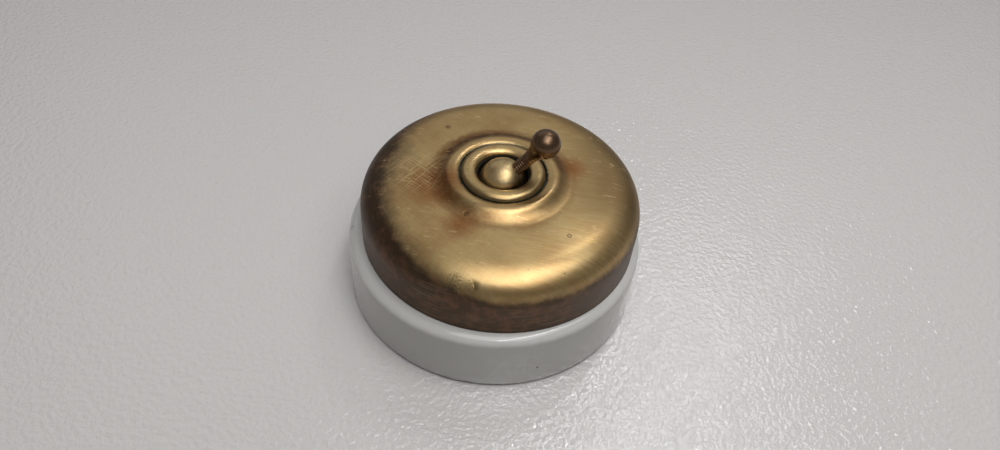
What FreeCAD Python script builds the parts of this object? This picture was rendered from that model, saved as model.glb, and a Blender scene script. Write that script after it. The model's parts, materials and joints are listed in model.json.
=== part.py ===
"""Antique round tumbler switch: porcelain base, pressed brass cover and ball-ended toggle.

Millimetres, +Z up.  The origin is the centre of the underside of the porcelain base.  The toggle
swings in the XZ plane about a pin along Y.  The metalwork sits a little to +X of the base centre,
so every piece of the mechanism is drawn about the toggle axis and then moved there.
"""
import FreeCAD, Part
import math
import os
import Sketcher

DIMENSIONS = (
    # porcelain base
    ("base_radius", 31.75, "radius of the base at the foot"),
    ("base_top_radius", 31.57, "radius under the rounded top edge"),
    ("base_edge", 2.0, "radius of the rounded top edge"),
    ("ledge_height", 14.6, "height of the ledge that carries the cover"),
    ("recess_radius", 27.0, "radius of the hollow in the underside"),
    ("recess_depth", 2.0, "depth of the hollow in the underside"),
    ("mechanism_offset", 0.75, "how far the metalwork sits to +X of the base centre"),
    ("spigot_radius", 28.1, "raised middle that locates the cover"),
    ("spigot_height", 17.6, "top of the raised middle"),
    ("fixing_spacing", 38.0, "distance between the two wall screw holes"),
    ("fixing_radius", 2.1, "radius of a wall screw hole"),
    ("fixing_head", 3.6, "radius of the countersink over it"),
    ("fixing_sink", 2.4, "depth of that countersink"),
    ("well_length", 11.4, "half length of the rocker well"),
    ("well_width", 5.9, "half width of the rocker well"),
    ("well_floor", 7.4, "floor of the rocker well"),
    ("arm_start", 3.4, "where the contact pocket starts along X"),
    ("arm_end", 12.3, "where the contact pocket ends along X"),
    ("arm_width", 11.6, "half width of the contact pocket"),
    ("arm_floor", 6.6, "floor of the contact pocket"),
    ("terminal_floor", 11.3, "floor of a terminal pocket"),
    ("cable_radius", 2.3, "radius of a cable hole"),
    # brass cover
    ("cover_radius", 29.24, "outer radius of the cover"),
    ("cover_wall", 0.75, "thickness of the pressed brass"),
    ("cover_straight", 21.65, "top of the straight wall"),
    ("shoulder_radius", 6.3, "radius of the shoulder"),
    ("crown_edge", 23.2, "radius where the shoulder meets the crown"),
    ("crown_edge_height", 28.1, "height there"),
    ("crown_radius", 70.0, "radius of the slightly domed crown"),
    ("valley_radius", 14.6, "radius of the valley round the bead"),
    ("valley_height", 28.45, "height of the valley"),
    ("bead_radius", 10.5, "radius of the crest of the raised bead"),
    ("bead_height", 30.0, "height of that crest"),
    ("bead_round", 3.1, "rounding of the bead"),
    ("seat_radius", 8.95, "radius of the seat for the ring nut"),
    ("seat_lip", 29.55, "height of the edge of that seat"),
    ("seat_height", 28.7, "height of the seat"),
    ("cover_hole", 7.1, "radius of the hole in the cover"),
    ("lining_wall", 0.47, "thickness of the insulating lining"),
    ("lining_gap", 0.07, "gap between lining and cover"),
    # ring nut and threaded collar
    ("nut_radius", 8.7, "outer radius of the ring nut"),
    ("nut_edge", 29.4, "height where its half-round face starts"),
    ("nut_crest", 7.15, "radius of the crest of the ring nut"),
    ("nut_height", 30.55, "height of that crest"),
    ("nut_round", 1.65, "rounding of the face"),
    ("nut_hole", 5.55, "radius of the hole in the ring nut"),
    ("nut_lip", 29.7, "height of the edge of that hole"),
    ("nut_skirt", 6.9, "outer radius of the threaded skirt"),
    ("skirt_foot", 26.4, "lower end of the skirt"),
    ("collar_radius", 6.28, "radius of the collar thread"),
    ("collar_bore", 5.3, "bore of the collar"),
    ("collar_top", 29.0, "top of the collar"),
    ("flange_radius", 8.2, "radius of the collar flange"),
    ("flange_height", 0.8, "thickness of that flange"),
    # bridge over the rocker
    ("bridge_top", 24.6, "top face of the bridge"),
    ("bridge_plate", 1.0, "thickness of the bridge"),
    ("bridge_width", 15.0, "width of the bridge along X"),
    ("bridge_span", 17.0, "half length over the legs"),
    ("bridge_foot", 23.8, "half length over the feet"),
    ("bridge_hole", 5.7, "radius of the hole for the tail"),
    ("bridge_screw", 20.3, "distance of a bridge screw from the axis"),
    ("machine_radius", 1.45, "radius of a machine screw"),
    ("machine_hole", 1.7, "radius of its hole in the porcelain"),
    ("machine_head", 2.7, "radius of its head"),
    ("machine_cap", 1.6, "height of its head"),
    ("nut_across", 5.5, "bridge nut across its flats"),
    ("nut_foot", 2.6, "underside of a bridge nut"),
    ("nut_top", 5.0, "top of a bridge nut"),
    # toggle: dolly, lever, pin, plunger and spring
    ("pivot_height", 27.2, "height of the toggle axis"),
    ("tilt", 36.0, "angle of the toggle from upright, in degrees"),
    ("dolly_radius", 4.9, "radius of the dome"),
    ("pivot_radius", 1.0, "radius of the toggle pin"),
    ("pivot_length", 12.4, "length of the toggle pin"),
    ("running_gap", 0.05, "radial clearance of a running fit"),
    ("tail_radius", 2.0, "radius of the tail"),
    ("tail_length", 9.0, "end of the tail below the axis"),
    ("tail_bore", 1.25, "radius of the bore in the tail"),
    ("bore_top", 2.4, "top of that bore below the axis"),
    ("socket_floor", 2.0, "floor of the stem socket above the axis"),
    ("stem_radius", 1.35, "radius of the threaded stem"),
    ("neck_start", 8.2, "where the stem starts to flare"),
    ("neck_radius", 2.1, "radius where the flare meets the ball"),
    ("flare_round", 6.2, "radius of the flare"),
    ("ball_radius", 3.0, "radius of the ball"),
    ("ball_distance", 13.3, "centre of the ball above the axis"),
    ("plunger_radius", 1.2, "radius of the plunger"),
    ("plunger_top", 6.3, "top of the plunger below the axis"),
    ("plunger_tip", 10.0, "centre of its round tip below the axis"),
    ("spring_radius", 0.9, "mean radius of the spring"),
    ("spring_wire", 0.15, "radius of the spring wire"),
    ("spring_pitch", 0.68, "pitch of the spring"),
    # rocker and its bracket
    ("rocker_height", 13.6, "height of the rocker axis"),
    ("rocker_turn", 12.0, "angle of the rocker from level, in degrees"),
    ("rocker_length", 8.6, "half length of the rocker"),
    ("rocker_width", 8.6, "width of the rocker along Y"),
    ("rocker_foot", 2.2, "underside below the axis"),
    ("rocker_waist", 1.0, "height where the ends start to lean in"),
    ("horn_height", 6.0, "top of the horns above the axis"),
    ("horn_length", 7.4, "half length over the horns"),
    ("horn_gap", 5.92, "half width of the saddle at the top"),
    ("saddle_depth", 2.1, "bottom of the saddle above the axis"),
    ("saddle_radius", 6.5, "radius of the saddle"),
    ("rocker_pin_radius", 0.95, "radius of the rocker pin"),
    ("bracket_width", 6.4, "width of the bracket along X"),
    ("bracket_plate", 1.1, "thickness of its floor"),
    ("bracket_inside", 4.6, "inner face of an ear"),
    ("bracket_outside", 5.5, "outer face of an ear"),
    ("bracket_ear", 15.6, "top of an ear"),
    # contacts and terminals
    ("blade_start", 4.6, "inner end of the moving contact along X"),
    ("blade_end", 9.4, "outer end of the moving contact along X"),
    ("blade_span", 22.0, "length of the moving contact along Y"),
    ("blade_plate", 1.0, "thickness of the moving contact"),
    ("rivet_place", 6.9, "place of the rivets along X"),
    ("rivet_side", 2.6, "place of the rivets along Y"),
    ("rivet_radius", 0.7, "radius of a rivet"),
    ("rivet_head", 1.3, "radius of its head"),
    ("rivet_cap", 0.6, "height of its head"),
    ("rivet_depth", 1.2, "end of a rivet above the rocker axis"),
    ("contact_gap", 0.12, "air left under the closed moving contact"),
    ("leaf_plate", 0.7, "thickness of a fixed contact"),
    ("leaf_width", 5.4, "width of a fixed contact"),
    ("leaf_inner", 4.8, "inner end of the leaf along X"),
    ("riser_inner", 11.5, "inner face of the riser"),
    ("terminal_side", 8.6, "distance of a terminal from the XZ plane"),
    ("terminal_start", 12.4, "inner face of a terminal block"),
    ("terminal_length", 10.0, "length of a terminal block"),
    ("terminal_width", 8.0, "width of a terminal block"),
    ("terminal_top", 21.4, "top of a terminal block"),
    ("wire_place", 15.0, "place of the wire bore along X"),
    ("wire_radius", 1.5, "radius of the wire bore"),
    ("wire_top", 20.6, "end of the wire bore"),
    ("clamp_height", 19.7, "height of a clamping screw"),
    ("clamp_tip", 16.6, "tip of a clamping screw"),
    ("clamp_head", 2.0, "radius of its head"),
    ("clamp_cap", 1.6, "length of its head"),
    ("small_radius", 1.25, "radius of a terminal or clamping screw"),
    ("small_hole", 1.45, "radius of its hole in the porcelain"),
    ("small_head", 2.4, "radius of a countersunk head"),
    ("small_sink", 1.3, "depth of a countersunk head"),
    ("terminal_screw", 20.2, "place of a terminal screw along X"),
    ("terminal_screw_top", 17.0, "end of a terminal screw"),
    ("slot_width", 0.7, "width of a screwdriver slot"),
    ("slot_depth", 0.7, "depth of a screwdriver slot"),
)

V = FreeCAD.Vector
doc = FreeCAD.newDocument("tumbler_switch")
nodes = []


def make_sheet():
    """The driving dimensions, one row each: alias, number, meaning."""
    sheet = doc.addObject("Spreadsheet::Sheet", "dims")
    for row, (alias, number, meaning) in enumerate(DIMENSIONS, start=1):
        sheet.set("A%d" % row, alias)
        sheet.set("B%d" % row, str(number))
        sheet.setAlias("B%d" % row, alias)
        sheet.set("C%d" % row, meaning)
    doc.recompute()
    return sheet


sheet = make_sheet()


def bound(formula):
    """A formula in plain aliases, rewritten so that each alias points at its cell."""
    words = []
    word = ""
    for letter in formula + " ":
        if letter.isalnum() or letter in "_.":
            word += letter
            continue
        words.append("dims." + word if word in ALIASES else word)
        words.append(letter)
        word = ""
    return "".join(words).strip()


ALIASES = {alias for alias, number, meaning in DIMENSIONS}


def value(formula):
    """The number that a formula gives now."""
    return float(sheet.evalExpression(bound(formula)))


# ---------------------------------------------------------------- sketches and bodies
def arc_between(start, end, radius):
    """Arc from start to end; a positive radius turns left on the way, a negative one right."""
    middle = (start + end) / 2
    chord = end - start
    across = V(-chord.y, chord.x, 0).normalize()
    reach = math.sqrt(max(radius * radius - chord.Length ** 2 / 4, 0))
    centre = middle + across * (reach if radius > 0 else -reach)
    first, last = (start, end) if radius > 0 else (end, start)
    from_angle = math.atan2(first.y - centre.y, first.x - centre.x)
    to_angle = math.atan2(last.y - centre.y, last.x - centre.x)
    if to_angle < from_angle:
        to_angle += 2 * math.pi
    return Part.ArcOfCircle(Part.Circle(centre, V(0, 0, 1), abs(radius)), from_angle, to_angle)


def hold(sketch, kind, edge, end, formula, name):
    """Bind one coordinate of an edge's end to a formula; zero means a point on the axis."""
    if abs(value(formula)) < 1e-9:
        axis = -2 if kind == "DistanceX" else -1
        sketch.addConstraint(Sketcher.Constraint("PointOnObject", edge, end, axis))
        return
    index = sketch.addConstraint(Sketcher.Constraint(kind, -1, 1, edge, end, value(formula)))
    sketch.renameConstraint(index, name)
    sketch.setExpression("Constraints." + name, bound(formula))


def outline(body, role, points):
    """Closed sketch on one of the body's own planes.

    Each point is (across, up) or (across, up, radius), in formulas; the radius bends the edge
    that leaves the point.
    """
    sketch = body.newObject("Sketcher::SketchObject", body.Name + "_outline")
    plane = next(part for part in body.Origin.OriginFeatures if part.Role == role)
    sketch.AttachmentSupport = [(plane, "")]
    sketch.MapMode = "FlatFace"
    places = [V(value(point[0]), value(point[1]), 0) for point in points]
    ends = []
    for number, point in enumerate(points):
        start = places[number]
        end = places[(number + 1) % len(points)]
        if len(point) == 3:
            radius = value(point[2])
            edge = sketch.addGeometry(arc_between(start, end, radius), False)
            ends.append((edge, 1, 2) if radius > 0 else (edge, 2, 1))
        else:
            edge = sketch.addGeometry(Part.LineSegment(start, end), False)
            ends.append((edge, 1, 2))
    for number, (edge, start, end) in enumerate(ends):
        following, next_start, next_end = ends[(number + 1) % len(ends)]
        sketch.addConstraint(Sketcher.Constraint("Coincident", edge, end, following, next_start))
    for number, point in enumerate(points):
        edge, start, end = ends[number]
        hold(sketch, "DistanceX", edge, start, point[0], "across%d" % number)
        hold(sketch, "DistanceY", edge, start, point[1], "up%d" % number)
        if len(point) == 3:
            radius = abs(value(point[2]))
            index = sketch.addConstraint(Sketcher.Constraint("Radius", edge, radius))
            sketch.renameConstraint(index, "round%d" % number)
            sketch.setExpression("Constraints.round%d" % number, "abs(%s)" % bound(point[2]))
    return sketch


def turned(name, points):
    """Body made by turning an (radius, height) outline about the Z axis."""
    body = doc.addObject("PartDesign::Body", name)
    sketch = outline(body, "XZ_Plane", points)
    feature = body.newObject("PartDesign::Revolution", name + "_turned")
    feature.Profile = sketch
    feature.ReferenceAxis = (sketch, ["V_Axis"])
    feature.Angle = 360
    return body


def extruded(name, role, points, width):
    """Body made by padding an outline, half of the width to each side of its plane."""
    body = doc.addObject("PartDesign::Body", name)
    sketch = outline(body, role, points)
    feature = body.newObject("PartDesign::Pad", name + "_pad")
    feature.Profile = sketch
    feature.setExpression("Length", bound(width))
    feature.SideType = "Symmetric"
    return body


# ---------------------------------------------------------------- primitives and booleans
def place(thing, x, y, z):
    """Bind the place of a primitive to three formulas."""
    for axis, formula in zip("xyz", (x, y, z)):
        thing.setExpression("Placement.Base." + axis, bound(formula))


def box(name, x, y, z, length, width, height):
    """Box from its lowest corner."""
    thing = doc.addObject("Part::Box", name)
    thing.setExpression("Length", bound(length))
    thing.setExpression("Width", bound(width))
    thing.setExpression("Height", bound(height))
    place(thing, x, y, z)
    return thing


def rod(name, radius, length, x="0", y="0", z="0", along="z"):
    """Cylinder that starts at (x, y, z) and runs along +X, +Y or +Z."""
    thing = doc.addObject("Part::Cylinder", name)
    thing.setExpression("Radius", bound(radius))
    thing.setExpression("Height", bound(length))
    turn = {"x": (V(0, 1, 0), 90), "y": (V(1, 0, 0), -90), "z": (V(0, 0, 1), 0)}[along]
    thing.Placement = FreeCAD.Placement(V(0, 0, 0), FreeCAD.Rotation(*turn))
    place(thing, x, y, z)
    return thing


def cone(name, lower, upper, height, x, y, z):
    """Cone frustum standing on (x, y, z)."""
    thing = doc.addObject("Part::Cone", name)
    thing.setExpression("Radius1", bound(lower))
    thing.setExpression("Radius2", bound(upper))
    thing.setExpression("Height", bound(height))
    place(thing, x, y, z)
    return thing


def joined(name, pieces):
    """Fuse the pieces into one solid."""
    thing = doc.addObject("Part::MultiFuse", name)
    thing.Shapes = pieces
    thing.Refine = True
    return thing


def cut(name, stock, tools):
    """Take the tools away from the stock."""
    tool = tools[0] if len(tools) == 1 else joined(name + "_tools", tools)
    thing = doc.addObject("Part::Cut", name)
    thing.Base = stock
    thing.Tool = tool
    thing.Refine = True
    return thing


# ---------------------------------------------------------------- naming and placing
def keep(thing, label):
    """Name a finished sub-part after its file."""
    thing.Label = label
    nodes.append(thing)
    return thing


def fixed(thing, label):
    """A piece of the mechanism that doesn't move."""
    thing.setExpression("Placement.Base.x", "dims.mechanism_offset")
    return keep(thing, label)


def swung(thing, label, height, angle):
    """A piece drawn about its own pivot, turned about Y and lifted to that pivot."""
    thing.Placement = FreeCAD.Placement(
        V(value("mechanism_offset"), 0, value(height)),
        FreeCAD.Rotation(V(0, 1, 0), value(angle)))
    return keep(thing, label)


def on_toggle(thing, label):
    """A piece that tilts with the toggle."""
    return swung(thing, label, "pivot_height", "tilt")


def on_rocker(thing, label):
    """A piece that turns with the rocker."""
    return swung(thing, label, "rocker_height", "-rocker_turn")


# ---------------------------------------------------------------- porcelain base
def porcelain_base():
    """Glazed base with a raised middle, the wells for the works and all its holes."""
    stock = turned("base_stock", [
        ("0", "recess_depth"),
        ("recess_radius", "recess_depth"),
        ("recess_radius", "0"),
        ("base_radius", "0"),
        ("base_top_radius", "ledge_height - base_edge", "base_edge"),
        ("base_top_radius - base_edge", "ledge_height"),
        ("0", "ledge_height"),
    ])
    middle = "mechanism_offset"
    spigot = rod("base_spigot", "spigot_radius", "spigot_height - recess_depth", middle, "0", "recess_depth")
    depth = "spigot_height - %s + 1"
    tools = [
        box("base_well", middle + " - well_length", "-well_width", "well_floor",
            "2 * well_length", "2 * well_width", depth % "well_floor"),
        box("base_arms", middle + " + arm_start", "-arm_width", "arm_floor",
            "arm_end - arm_start", "2 * arm_width", depth % "arm_floor"),
        rod("base_bracket_hole", "small_hole", "well_floor", middle, "0", "0"),
        cone("base_bracket_sink", "small_head + 0.2", "small_hole", "small_sink",
             middle, "0", "recess_depth"),
    ]
    for side, sign in (("front", "-"), ("back", "")):
        terminal = sign + "terminal_side"
        tools.append(box("base_terminal_" + side, middle + " + arm_end - 0.5",
                         terminal + " - terminal_width / 2 - 0.3", "terminal_floor",
                         "terminal_length + 1.3", "terminal_width + 0.6", depth % "terminal_floor"))
        tools.append(rod("base_cable_" + side, "cable_radius", "spigot_height",
                         middle + " + wire_place", terminal, "0"))
        tools.append(rod("base_screw_" + side, "small_hole", "spigot_height",
                         middle + " + terminal_screw", terminal, "0"))
        tools.append(cone("base_sink_" + side, "small_head + 0.2", "small_hole", "small_sink",
                          middle + " + terminal_screw", terminal, "recess_depth"))
        screw = sign + "bridge_screw"
        tools.append(rod("base_bridge_" + side, "machine_hole", "spigot_height + 1", middle, screw, "0"))
        tools.append(hexagon("base_hex_" + side, "nut_across + 0.3", "nut_top", middle, screw, "0"))
    for side, sign in (("left", "-"), ("right", "")):
        across = sign + "fixing_spacing / 2"
        tools.append(rod("base_fixing_" + side, "fixing_radius", "spigot_height + 1", across, "0", "0"))
        tools.append(cone("base_fixing_sink_" + side, "fixing_radius", "fixing_head", "fixing_sink",
                          across, "0", "spigot_height - fixing_sink"))
    return keep(cut("porcelain_base", joined("base_body", [stock, spigot]), tools), "porcelain_base")


def hexagon(name, across, height, x, y, z):
    """Hexagonal prism, measured across its flats."""
    thing = doc.addObject("Part::Prism", name)
    thing.Polygon = 6
    thing.setExpression("Circumradius", bound("(%s) / sqrt(3)" % across))
    thing.setExpression("Height", bound(height))
    place(thing, x, y, z)
    return thing


# ---------------------------------------------------------------- brass cover and ring nut
def brass_cover():
    """Pressed shell: straight wall, round shoulder, domed crown, bead and nut seat."""
    inner = "cover_radius - cover_wall"
    shell = turned("cover_shell", [
        (inner, "ledge_height"),
        ("cover_radius", "ledge_height"),
        ("cover_radius", "cover_straight", "shoulder_radius"),
        ("crown_edge", "crown_edge_height", "crown_radius"),
        ("valley_radius", "valley_height", "-bead_round"),
        ("valley_radius - 2.0", "valley_height + 0.75", "bead_round"),
        ("bead_radius", "bead_height", "bead_round"),
        ("seat_radius", "seat_lip"),
        ("seat_radius", "seat_height"),
        ("cover_hole", "seat_height"),
        ("cover_hole", "seat_height - cover_wall"),
        ("seat_radius + cover_wall", "seat_height - cover_wall"),
        ("seat_radius + cover_wall", "seat_lip - cover_wall + 0.2"),
        ("bead_radius", "bead_height - cover_wall"),
        ("valley_radius - 2.5", "valley_height + 0.17"),
        ("valley_radius", "valley_height - cover_wall", "-crown_radius"),
        ("crown_edge - 0.05", "crown_edge_height - cover_wall", "cover_wall - shoulder_radius"),
        (inner, "cover_straight"),
    ])
    return fixed(shell, "brass_cover")


def cover_lining():
    """Band of insulating fibre inside the wall of the cover."""
    outer = "cover_radius - cover_wall - lining_gap"
    foot = "spigot_height + 0.1"
    band = turned("lining_band", [
        (outer + " - lining_wall", foot),
        (outer, foot),
        (outer, "cover_straight - 0.1"),
        (outer + " - lining_wall", "cover_straight - 0.1"),
    ])
    return fixed(band, "cover_lining")


def ring_nut():
    """Half-round ring whose skirt screws onto the collar and holds the cover down."""
    ring = turned("nut_ring", [
        ("nut_radius", "seat_height"),
        ("nut_radius", "nut_edge", "nut_round"),
        ("nut_crest", "nut_height", "nut_round"),
        ("nut_hole", "nut_lip"),
        ("nut_hole", "collar_top + 0.05"),
        ("collar_radius + 0.02", "collar_top + 0.05"),
        ("collar_radius + 0.02", "skirt_foot"),
        ("nut_skirt", "skirt_foot"),
        ("nut_skirt", "seat_height"),
    ])
    return fixed(ring, "ring_nut")


def threaded_collar():
    """Flanged tube on the bridge that carries the ring nut and the toggle pin."""
    tube = turned("collar_tube", [
        ("collar_bore", "bridge_top"),
        ("flange_radius", "bridge_top"),
        ("flange_radius", "bridge_top + flange_height"),
        ("collar_radius", "bridge_top + flange_height"),
        ("collar_radius", "collar_top"),
        ("collar_bore", "collar_top"),
    ])
    hole = rod("collar_pin_hole", "pivot_radius", "pivot_length + 2",
               "0", "-pivot_length / 2 - 1", "pivot_height", "y")
    return fixed(cut("threaded_collar", tube, [hole]), "threaded_collar")


# ---------------------------------------------------------------- bridge and its screws
def bridge():
    """Brass strap bent over the rocker, with the hole for the tail of the toggle."""
    lower = "bridge_top - bridge_plate"
    half = [
        ("bridge_foot", "spigot_height"),
        ("bridge_foot", "spigot_height + bridge_plate"),
        ("bridge_span", "spigot_height + bridge_plate"),
        ("bridge_span", "bridge_top"),
    ]
    inside = [
        ("bridge_span - bridge_plate", lower),
        ("bridge_span - bridge_plate", "spigot_height"),
    ]
    mirrored = [("-(%s)" % across, up) for across, up in reversed(half)]
    mirrored_inside = [("-(%s)" % across, up) for across, up in reversed(inside)]
    strap = extruded("bridge_strap", "YZ_Plane", half + mirrored + mirrored_inside + inside, "bridge_width")
    tools = [rod("bridge_tail_hole", "bridge_hole", "3", "0", "0", "bridge_top - 2")]
    for side, sign in (("front", "-"), ("back", "")):
        tools.append(rod("bridge_hole_" + side, "machine_radius", "3",
                         "0", sign + "bridge_screw", "spigot_height - 1"))
    return fixed(cut("bridge", strap, tools), "bridge")


def bridge_screw(side, sign):
    """Round-headed machine screw that clamps a bridge foot to the porcelain."""
    seat = "spigot_height + bridge_plate"
    place_y = sign + "bridge_screw"
    name = "bridge_screw_" + side
    shank = rod(name + "_shank", "machine_radius", seat + " - nut_foot", "0", place_y, "nut_foot")
    head = rod(name + "_head", "machine_head", "machine_cap", "0", place_y, seat)
    slot = box(name + "_slot", "-machine_head - 1", place_y + " - slot_width / 2",
               seat + " + machine_cap - slot_depth", "2 * machine_head + 2", "slot_width", "slot_depth + 1")
    return fixed(cut(name, joined(name + "_stock", [shank, head]), [slot]), name)


def bridge_nut(side, sign):
    """Hexagonal nut in a pocket of the underside."""
    name = "bridge_nut_" + side
    place_y = sign + "bridge_screw"
    stock = hexagon(name + "_hex", "nut_across", "nut_top - nut_foot", "0", place_y, "nut_foot")
    hole = rod(name + "_hole", "machine_radius", "nut_top", "0", place_y, "0")
    return fixed(cut(name, stock, [hole]), name)


# ---------------------------------------------------------------- toggle
def dolly():
    """Dome on a hollow tail, drawn upright about its pin."""
    dome = doc.addObject("Part::Sphere", "dolly_dome")
    dome.setExpression("Radius", "dims.dolly_radius")
    tail = rod("dolly_tail", "tail_radius", "tail_length", "0", "0", "-tail_length")
    tools = [
        rod("dolly_bore", "tail_bore", "tail_length - bore_top + 1", "0", "0", "-tail_length - 1"),
        rod("dolly_socket", "stem_radius", "dolly_radius", "0", "0", "socket_floor"),
        rod("dolly_pin_bore", "pivot_radius + running_gap", "4 * dolly_radius",
            "0", "-2 * dolly_radius", "0", "y"),
    ]
    return on_toggle(cut("dolly", joined("dolly_stock", [dome, tail]), tools), "dolly")


def toggle_lever():
    """Ball, flared neck and threaded stem, turned from one rod."""
    neck = "ball_distance - sqrt(ball_radius ^ 2 - neck_radius ^ 2)"
    lever = turned("lever_rod", [
        ("0", "socket_floor"),
        ("stem_radius", "socket_floor"),
        ("stem_radius", "neck_start", "-flare_round"),
        ("neck_radius", neck, "ball_radius"),
        ("ball_radius", "ball_distance", "ball_radius"),
        ("0", "ball_distance + ball_radius"),
    ])
    return on_toggle(lever, "toggle_lever")


def dolly_pin():
    """Cross pin pressed through the wall of the collar."""
    pin = rod("dolly_pin", "pivot_radius", "pivot_length", "0", "-pivot_length / 2", "pivot_height", "y")
    return fixed(pin, "dolly_pin")


def plunger():
    """Sliding pin with a round tip that works the rocker."""
    body = turned("plunger_body", [
        ("0", "-plunger_tip - plunger_radius", "plunger_radius"),
        ("plunger_radius", "-plunger_tip"),
        ("plunger_radius", "-plunger_top"),
        ("0", "-plunger_top"),
    ])
    return on_toggle(body, "plunger")


def plunger_spring():
    """Coil spring between the plunger and the end of the bore."""
    coil = doc.addObject("Part::Helix", "spring_coil")
    coil.setExpression("Radius", "dims.spring_radius")
    coil.setExpression("Pitch", "dims.spring_pitch")
    coil.setExpression("Height", bound("plunger_top - bore_top - 2 * spring_wire - 0.1"))
    wire = doc.addObject("Part::Circle", "spring_section")
    wire.setExpression("Radius", "dims.spring_wire")
    wire.Placement = FreeCAD.Placement(V(value("spring_radius"), 0, 0), FreeCAD.Rotation(V(1, 0, 0), 90))
    sweep = doc.addObject("Part::Sweep", "plunger_spring")
    sweep.Sections = [wire]
    sweep.Spine = coil
    sweep.Solid = True
    sweep.Frenet = True
    doc.recompute()
    turn = FreeCAD.Rotation(V(0, 1, 0), value("tilt"))
    start = turn.multVec(V(0, 0, value("spring_wire - plunger_top + 0.05")))
    sweep.Placement = FreeCAD.Placement(V(value("mechanism_offset"), 0, value("pivot_height")) + start, turn)
    return keep(sweep, "plunger_spring")


# ---------------------------------------------------------------- rocker
def rocker():
    """Fibre rocker with a round saddle for the plunger, drawn level about its pin."""
    right = [
        ("rocker_length", "-rocker_foot"),
        ("rocker_length", "rocker_waist"),
        ("horn_length", "horn_height"),
    ]
    left = [("-(%s)" % across, up) for across, up in reversed(right)]
    saddle = [
        ("horn_gap", "horn_height", "-saddle_radius"),
        ("0", "saddle_depth", "-saddle_radius"),
        ("-horn_gap", "horn_height"),
    ]
    block = extruded("rocker_block", "XZ_Plane", right + saddle + left, "rocker_width")
    tools = [rod("rocker_bore", "rocker_pin_radius + running_gap", "rocker_width + 2",
                 "0", "-rocker_width / 2 - 1", "0", "y")]
    for side, sign in (("front", "-"), ("back", "")):
        tools.append(rod("rocker_rivet_" + side, "rivet_radius", "rocker_foot + rivet_depth + 1",
                         "rivet_place", sign + "rivet_side", "-rocker_foot - 1"))
    return on_rocker(cut("rocker", block, tools), "rocker")


def rocker_pin():
    """Pin of the rocker, held in the two ears of the bracket."""
    pin = rod("rocker_pin", "rocker_pin_radius", "2 * bracket_outside",
              "0", "-bracket_outside", "rocker_height", "y")
    return fixed(pin, "rocker_pin")


def rocker_bracket():
    """U-shaped brass bracket on the floor of the well."""
    channel = extruded("bracket_channel", "YZ_Plane", [
        ("bracket_outside", "well_floor"),
        ("bracket_outside", "bracket_ear"),
        ("bracket_inside", "bracket_ear"),
        ("bracket_inside", "well_floor + bracket_plate"),
        ("-bracket_inside", "well_floor + bracket_plate"),
        ("-bracket_inside", "bracket_ear"),
        ("-bracket_outside", "bracket_ear"),
        ("-bracket_outside", "well_floor"),
    ], "bracket_width")
    tools = [
        rod("bracket_pin_hole", "rocker_pin_radius", "2 * bracket_outside + 2",
            "0", "-bracket_outside - 1", "rocker_height", "y"),
        rod("bracket_screw_hole", "small_radius", "4", "0", "0", "well_floor - 1"),
    ]
    return fixed(cut("rocker_bracket", channel, tools), "rocker_bracket")


def sunk_screw(name, top, x, y):
    """Countersunk screw driven up through the base."""
    shank = rod(name + "_shank", "small_radius", top + " - recess_depth", x, y, "recess_depth")
    head = cone(name + "_head", "small_head", "small_radius", "small_sink", x, y, "recess_depth")
    slot = box(name + "_slot", x + " - small_head - 1", y + " - slot_width / 2", "recess_depth - 1",
               "2 * small_head + 2", "slot_width", "1 + slot_depth")
    return fixed(cut(name, joined(name + "_stock", [shank, head]), [slot]), name)


# ---------------------------------------------------------------- contacts
def moving_contact():
    """Brass bar under one end of the rocker that bridges the two fixed contacts."""
    bar = box("contact_bar", "blade_start", "-blade_span / 2", "-rocker_foot - blade_plate",
              "blade_end - blade_start", "blade_span", "blade_plate")
    holes = []
    for side, sign in (("front", "-"), ("back", "")):
        holes.append(rod("contact_hole_" + side, "rivet_radius", "blade_plate + 2",
                         "rivet_place", sign + "rivet_side", "-rocker_foot - blade_plate - 1"))
    return on_rocker(cut("moving_contact", bar, holes), "moving_contact")


def contact_rivet(side, sign):
    """Rivet that holds the moving contact to the rocker."""
    name = "contact_rivet_" + side
    under = "-rocker_foot - blade_plate"
    shank = rod(name + "_shank", "rivet_radius", "rocker_foot + blade_plate + rivet_depth",
                "rivet_place", sign + "rivet_side", under)
    head = rod(name + "_head", "rivet_head", "rivet_cap",
               "rivet_place", sign + "rivet_side", under + " - rivet_cap")
    return on_rocker(joined(name, [shank, head]), name)


def fixed_contact(side, sign):
    """Bent strip: foot under the terminal, riser, and a leaf that meets the closed moving contact."""
    name = "fixed_contact_" + side
    slope = "tan(rocker_turn * 1deg)"
    drop = "(rocker_foot + blade_plate) / cos(rocker_turn * 1deg) + contact_gap"
    top = "rocker_height - (%s) - (%%s) * %s" % (drop, slope)
    inner_top = top % "leaf_inner"
    outer_top = top % "riser_inner"
    strip = extruded(name + "_strip", "XZ_Plane", [
        ("leaf_inner", inner_top),
        ("leaf_inner", inner_top + " - leaf_plate"),
        ("riser_inner + leaf_plate", top % "riser_inner + leaf_plate" + " - leaf_plate"),
        ("riser_inner + leaf_plate", "terminal_floor"),
        ("terminal_start + terminal_length", "terminal_floor"),
        ("terminal_start + terminal_length", "terminal_floor + leaf_plate"),
        ("riser_inner", "terminal_floor + leaf_plate"),
        ("riser_inner", outer_top),
    ], "leaf_width")
    strip.setExpression("Placement.Base.y", bound(sign + "terminal_side"))
    tools = [
        rod(name + "_wire_hole", "wire_radius + 0.2", "3",
            "wire_place", sign + "terminal_side", "terminal_floor - 1"),
        rod(name + "_screw_hole", "small_radius", "3",
            "terminal_screw", sign + "terminal_side", "terminal_floor - 1"),
    ]
    return fixed(cut(name, strip, tools), name)


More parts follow.
